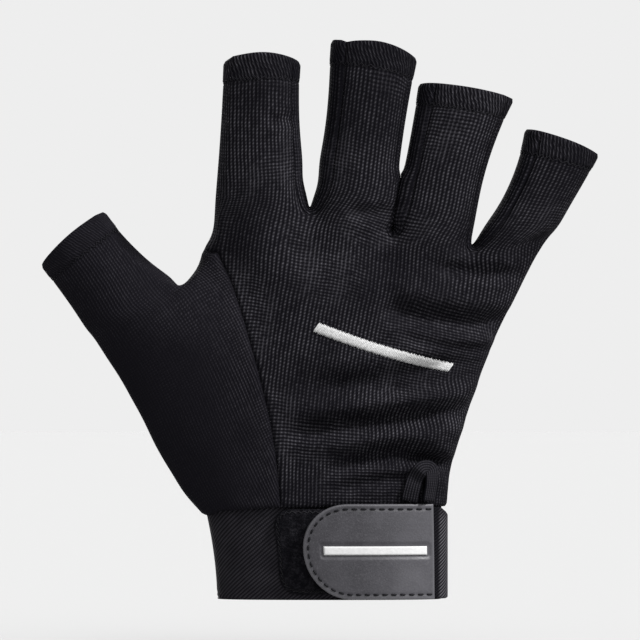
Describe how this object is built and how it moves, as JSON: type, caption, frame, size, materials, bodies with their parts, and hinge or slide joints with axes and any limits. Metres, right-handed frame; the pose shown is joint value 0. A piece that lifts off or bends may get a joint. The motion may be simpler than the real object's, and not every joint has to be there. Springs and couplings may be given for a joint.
{
  "type": "rugby glove",
  "caption": "Fingerless right-hand rugby glove in black knit, standing as worn, with an elastic cuff, a hook-and-loop wrist tab and a pull loop.",
  "frame": {"origin": "centre of the wrist opening, at the cuff's lower edge", "axes": "+Z from the wrist to the fingertips, -Y out of the back of the hand, +X from the thumb to the little finger"},
  "size_m": [0.1784, 0.0404, 0.1787],
  "materials": {
    "knit": "matte",
    "thumb_knit": "matte",
    "side_knit": "matte",
    "elastic": "matte",
    "pile": "matte",
    "hooks": "matte",
    "coated_leather": "satin",
    "tape": "matte"
  },
  "bodies": {
    "root": {"back_panel": "knit", "palm_panel": "knit", "thumb_panel": "thumb_knit", "fourchette_index_middle": "side_knit", "fourchette_middle_ring": "side_knit", "fourchette_ring_little": "side_knit", "cuff": "elastic", "loop_patch": "pile", "hook_pad": "hooks", "strap_band": "elastic", "strap_tab": "coated_leather", "pull_loop": "tape"}
  },
  "joints": []
}
